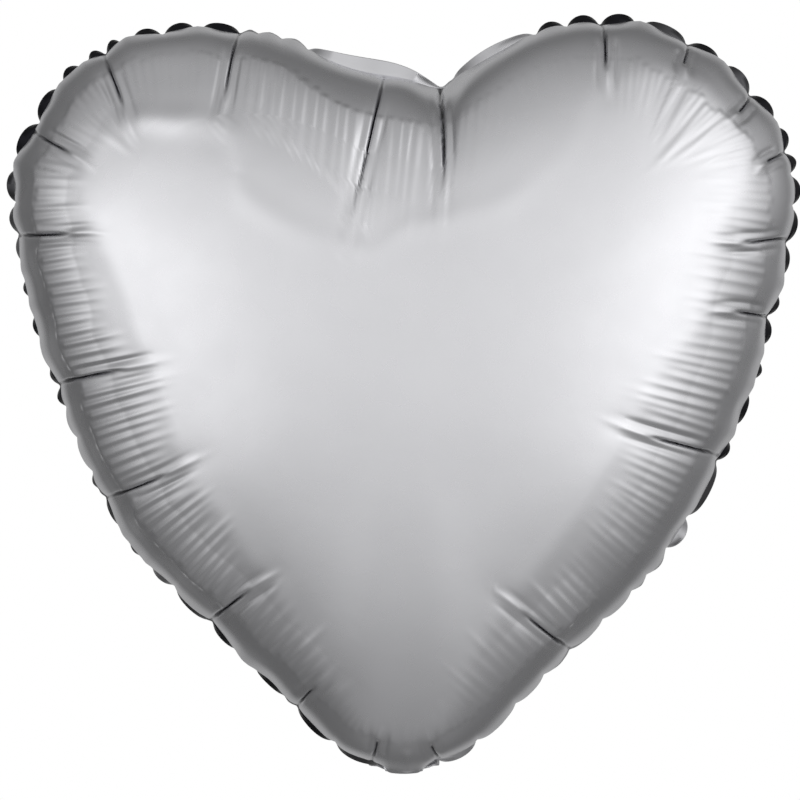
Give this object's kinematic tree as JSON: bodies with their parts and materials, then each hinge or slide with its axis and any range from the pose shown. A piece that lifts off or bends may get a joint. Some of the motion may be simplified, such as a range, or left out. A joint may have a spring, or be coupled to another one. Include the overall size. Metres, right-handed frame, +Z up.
{
  "type": "heart foil balloon",
  "caption": "Inflated heart-shaped foil balloon: domed film panels sealed round a flange, with a flat self-sealing valve in its neck and a fill tail folded up behind.",
  "frame": {"origin": "middle of the neck's fold line at the heart's point, in the seam plane", "axes": "+Z up from the point to the cleft, -Y towards the front, +X across to the right as seen from the front"},
  "size_m": [0.3602, 0.1648, 0.3444],
  "materials": {
    "panel_foil": "satin",
    "seal": "satin",
    "tail_foil": "satin",
    "valve_film": "gloss"
  },
  "bodies": {
    "envelope": {"front_panel": "panel_foil", "back_panel": "panel_foil", "edge_seal": "seal", "neck_side_welds": "seal", "valve_neck_front_film": "valve_film", "valve_neck_back_film": "valve_film"},
    "tail": {"tail_front_film": "tail_foil", "tail_back_film": "tail_foil", "tail_side_welds": "seal", "valve_mouth_front_film": "valve_film", "valve_mouth_back_film": "valve_film"},
    "valve": {"valve_front_film": "valve_film", "valve_back_film": "valve_film", "valve_side_welds": "valve_film"}
  },
  "joints": [
    {"name": "tail_fold", "type": "hinge", "parent": "envelope", "child": "tail", "pos_m": [0, 0, 0], "axis": [1, 0, 0], "range_deg": [-180, 0]},
    {"name": "valve_swing", "type": "hinge", "parent": "envelope", "child": "valve", "pos_m": [0, 0, 0.009], "axis": [1, 0, 0], "range_deg": [0, 76]}
  ]
}
